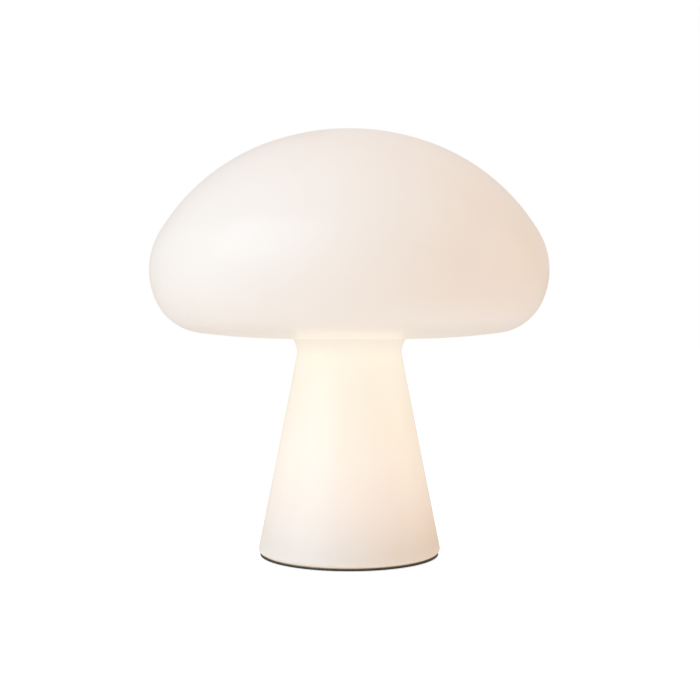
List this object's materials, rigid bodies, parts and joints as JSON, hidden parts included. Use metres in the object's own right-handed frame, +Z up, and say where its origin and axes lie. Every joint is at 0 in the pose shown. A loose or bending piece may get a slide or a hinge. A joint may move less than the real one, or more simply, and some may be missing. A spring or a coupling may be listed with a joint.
{
  "type": "table lamp",
  "caption": "Mushroom table lamp: one-piece blown opal glass cap and flared stem on a thin dark steel base, lit from inside by a screw-in LED bulb.",
  "frame": {"origin": "centre of the felt's underside, on the table", "axes": "+Z up along the lamp's axis, +Y towards the back, where the cord inlet is"},
  "size_m": [0.22, 0.22, 0.2352],
  "materials": {
    "opal_glass": "satin opal, lit from inside",
    "dark_steel": "satin, powder coated",
    "felt": "pressed felt",
    "clear_silicone": "translucent white",
    "bush_rubber": "moulded, off-white",
    "spring_steel": "bright rolled",
    "zinc_steel": "zinc plated",
    "holder_plastic": "moulded, white",
    "holder_core_plastic": "moulded, cream",
    "brass": "machined",
    "bronze_strip": "phosphor bronze strip",
    "nickel": "nickel plated",
    "solder": "tin",
    "black_glass": "fused, black",
    "bulb_white": "moulded, white",
    "bulb_opal": "opal diffuser, lit",
    "board_white": "white solder mask on aluminium",
    "led_yellow": "phosphor",
    "board_green": "glass fibre board",
    "part_black": "moulded, black",
    "tinned_wire": "tinned copper"
  },
  "bodies": {
    "base": {"base_plate": "dark_steel", "felt_pad": "felt", "rim_gasket": "clear_silicone", "cord_bush": "bush_rubber", "spring_clip_1": "spring_steel", "spring_clip_2": "spring_steel", "spring_clip_3": "spring_steel", "clip_sleeve_1": "clear_silicone", "clip_sleeve_2": "clear_silicone", "clip_sleeve_3": "clear_silicone", "clip_rivets": "zinc_steel", "holder_bracket": "zinc_steel", "bracket_screws": "zinc_steel", "bracket_nuts": "zinc_steel", "nipple": "zinc_steel", "lock_washer": "zinc_steel", "nipple_nut": "zinc_steel", "holder_dome": "holder_plastic", "holder_skirt": "holder_plastic", "holder_core": "holder_core_plastic", "terminal_blocks": "brass", "terminal_screws": "zinc_steel", "thread_shell": "brass", "centre_contact": "bronze_strip"},
    "glass": {"glass_shade": "opal_glass"},
    "bulb_tip": {"cap_contact": "solder"},
    "bulb": {"cap_insulator": "black_glass", "bulb_cap": "nickel", "bulb_collar": "bulb_white", "bulb_globe": "bulb_opal", "led_board": "board_white", "led_chips": "led_yellow", "driver_board": "board_green", "driver_parts": "part_black", "driver_lead": "tinned_wire"}
  },
  "joints": [
    {"name": "glass_lift", "type": "slide", "parent": "base", "child": "glass", "axis": [0, 0, 1], "range_m": [0, 0.13], "deforming": ["spring_clip_1", "clip_sleeve_1", "spring_clip_2", "clip_sleeve_2", "spring_clip_3", "clip_sleeve_3"]},
    {"name": "bulb_rise", "type": "slide", "parent": "base", "child": "bulb_tip", "axis": [0, 0, 1], "range_m": [0, 0.0127]},
    {"name": "bulb_turn", "type": "hinge", "parent": "bulb_tip", "child": "bulb", "pos_m": [0, 0, 0.05], "axis": [0, 0, 1], "range_deg": [0, 1620]}
  ],
  "couplings": [
    {"joint": "bulb_rise", "follows": "bulb_turn", "m_per_rad": 0.00044914}
  ]
}
